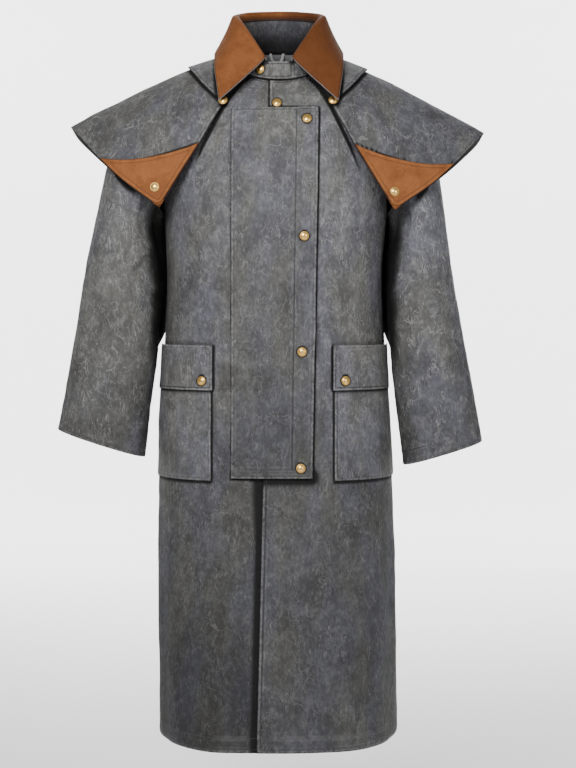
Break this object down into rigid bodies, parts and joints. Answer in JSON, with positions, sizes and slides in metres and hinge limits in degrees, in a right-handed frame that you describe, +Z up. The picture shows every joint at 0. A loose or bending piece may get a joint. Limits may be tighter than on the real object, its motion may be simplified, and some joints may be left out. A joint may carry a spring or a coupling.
{
  "type": "duster coat",
  "caption": "Long grey canvas duster coat with a shoulder cape, tan collar and cape corners, a snapped storm flap, patch pockets and brass snaps, in its worn shape with nobody inside",
  "frame": {"origin": "the middle of the neck at the height of the collar seam, where the coat hangs from its wearer", "axes": "+Z up, -Y is the front of the coat, +X is the wearer's left"},
  "size_m": [0.7608, 0.43, 1.3017],
  "materials": {
    "canvas": "washed and mottled, matte",
    "leather": "matte",
    "brass": "polished",
    "loop": "matte"
  },
  "bodies": {
    "root": {"back": "canvas", "front_left": "canvas", "front_right": "canvas", "storm_flap": "canvas", "sleeve_left": "canvas", "sleeve_right": "canvas", "collar_stand": "canvas", "cape": "canvas", "cape_yoke": "canvas", "pocket_left": "canvas", "pocket_right": "canvas", "pocket_flap_left": "canvas", "pocket_flap_right": "canvas", "collar_fall": "leather", "cape_patch_left": "leather", "cape_patch_right": "leather", "hang_loop": "loop", "snap_flap_1": "brass", "snap_flap_2": "brass", "snap_flap_3": "brass", "snap_flap_4": "brass", "snap_placket": "brass", "snap_throat": "brass", "snap_pocket_left": "brass", "snap_pocket_right": "brass", "snap_cape_left": "brass", "snap_cape_right": "brass", "snap_yoke_left": "brass", "snap_yoke_right": "brass"}
  },
  "joints": []
}
